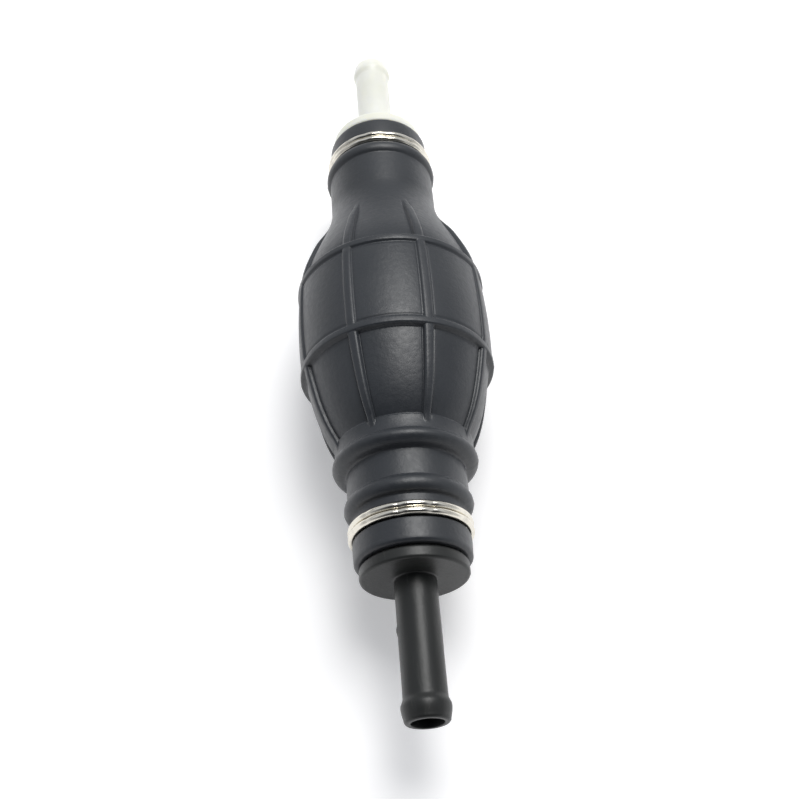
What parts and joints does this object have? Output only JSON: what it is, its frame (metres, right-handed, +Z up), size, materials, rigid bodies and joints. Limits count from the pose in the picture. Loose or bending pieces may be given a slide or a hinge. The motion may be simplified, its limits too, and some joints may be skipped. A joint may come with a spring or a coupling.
{
  "type": "siphon bulb pump",
  "caption": "In-line hand siphon pump: a ribbed rubber squeeze bulb with a one-way valve and a hose spigot at each end.",
  "frame": {"origin": "middle of the bounding box, on the surface that the pump lies on", "axes": "+Y along the pump's axis from the black outlet to the white inlet, +Z up, +X to the right when looking along +Y"},
  "size_m": [0.0406, 0.1664, 0.0405],
  "materials": {
    "bulb_rubber": "soft matte moulded rubber",
    "outlet_plastic": "satin moulded plastic",
    "inlet_plastic": "natural translucent nylon",
    "clamp_steel": "bright plated wire",
    "valve_plastic": "natural acetal",
    "nitrile_seal": "matte",
    "spring_steel": "stainless spring wire"
  },
  "bodies": {
    "root": {"bulb": "bulb_rubber", "outlet_fitting": "outlet_plastic", "inlet_fitting": "inlet_plastic", "outlet_clamp": "clamp_steel", "inlet_clamp": "clamp_steel", "inlet_valve_seat": "valve_plastic", "inlet_valve_cage": "valve_plastic", "inlet_valve_spring": "spring_steel", "outlet_valve_seat": "valve_plastic", "outlet_valve_cage": "valve_plastic", "outlet_valve_spring": "spring_steel"},
    "inlet_poppet": {"inlet_poppet": "valve_plastic", "inlet_poppet_seal": "nitrile_seal"},
    "outlet_poppet": {"outlet_poppet": "valve_plastic", "outlet_poppet_seal": "nitrile_seal"}
  },
  "joints": [
    {"name": "inlet_poppet_slide", "type": "slide", "parent": "root", "child": "inlet_poppet", "axis": [0, -1, 0], "range_m": [0, 0.002], "stiffness_N_per_m": 40, "springref_m": -0.0015, "deforming": ["inlet_valve_spring"]},
    {"name": "outlet_poppet_slide", "type": "slide", "parent": "root", "child": "outlet_poppet", "axis": [0, -1, 0], "range_m": [0, 0.002], "stiffness_N_per_m": 40, "springref_m": -0.0015, "deforming": ["outlet_valve_spring"]}
  ]
}
